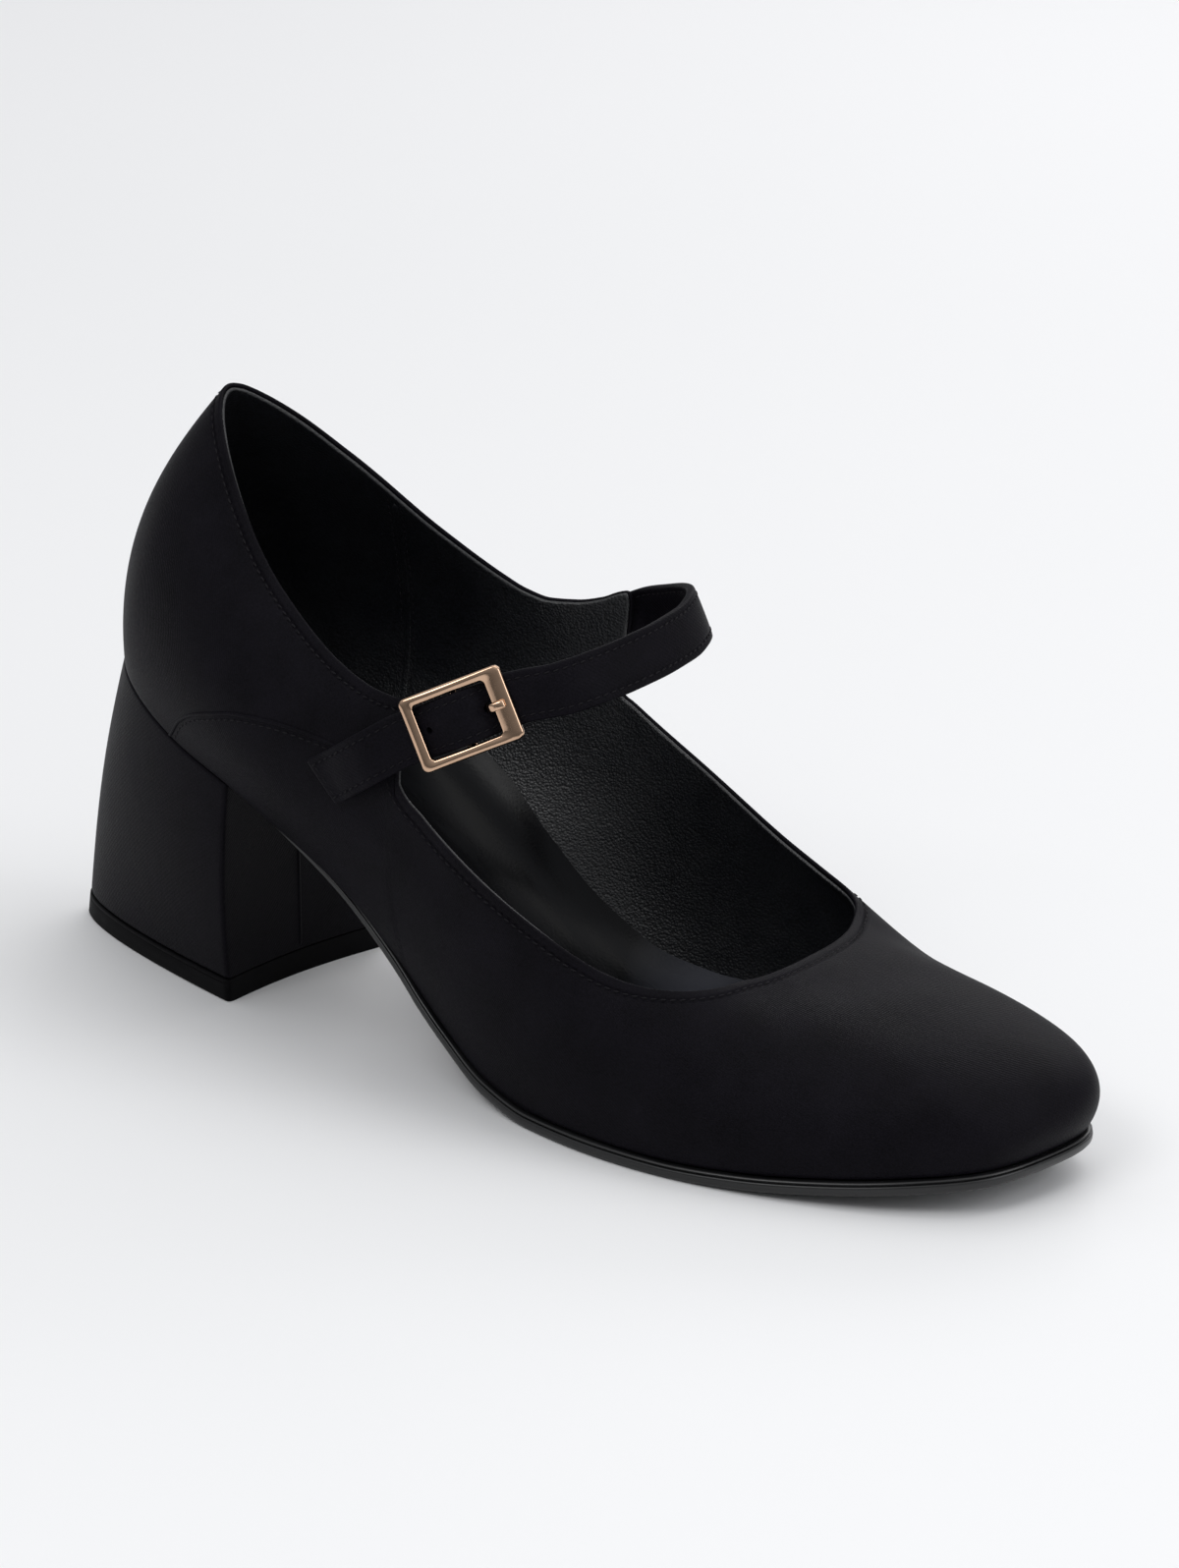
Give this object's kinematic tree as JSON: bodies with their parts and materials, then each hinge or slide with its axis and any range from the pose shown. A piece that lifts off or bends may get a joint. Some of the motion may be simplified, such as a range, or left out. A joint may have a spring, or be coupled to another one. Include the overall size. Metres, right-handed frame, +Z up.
{
  "type": "mary jane pump",
  "caption": "Satin mary jane pump with a covered block heel, squared round toe, low cut vamp and a narrow instep strap closed by a rectangular centre-bar buckle.",
  "frame": {"origin": "middle of the shoe's bounding box, on the ground", "axes": "+X towards the toe, +Y towards the inner (medial) side, +Z up"},
  "size_m": [0.2368, 0.0816, 0.1212],
  "materials": {
    "satin": "black satin with a soft sheen",
    "strap_satin": "black satin, edge stitched",
    "heel_cover": "black satin wrapped over a moulded block",
    "lining": "smooth black lining leather",
    "sock": "pebbled black sock leather",
    "sole": "smooth black sole, slightly glossy edge",
    "top_lift": "matt black rubber",
    "thread": "fine black thread",
    "buckle": "polished pale rose gold plating"
  },
  "bodies": {
    "root": {"upper": "satin", "outsole": "sole", "insole": "sock", "heel": "heel_cover", "top_lift": "top_lift", "strap": "strap_satin", "buckle_frame": "buckle", "buckle_prong": "buckle", "buckle_tab": "strap_satin"}
  },
  "joints": []
}
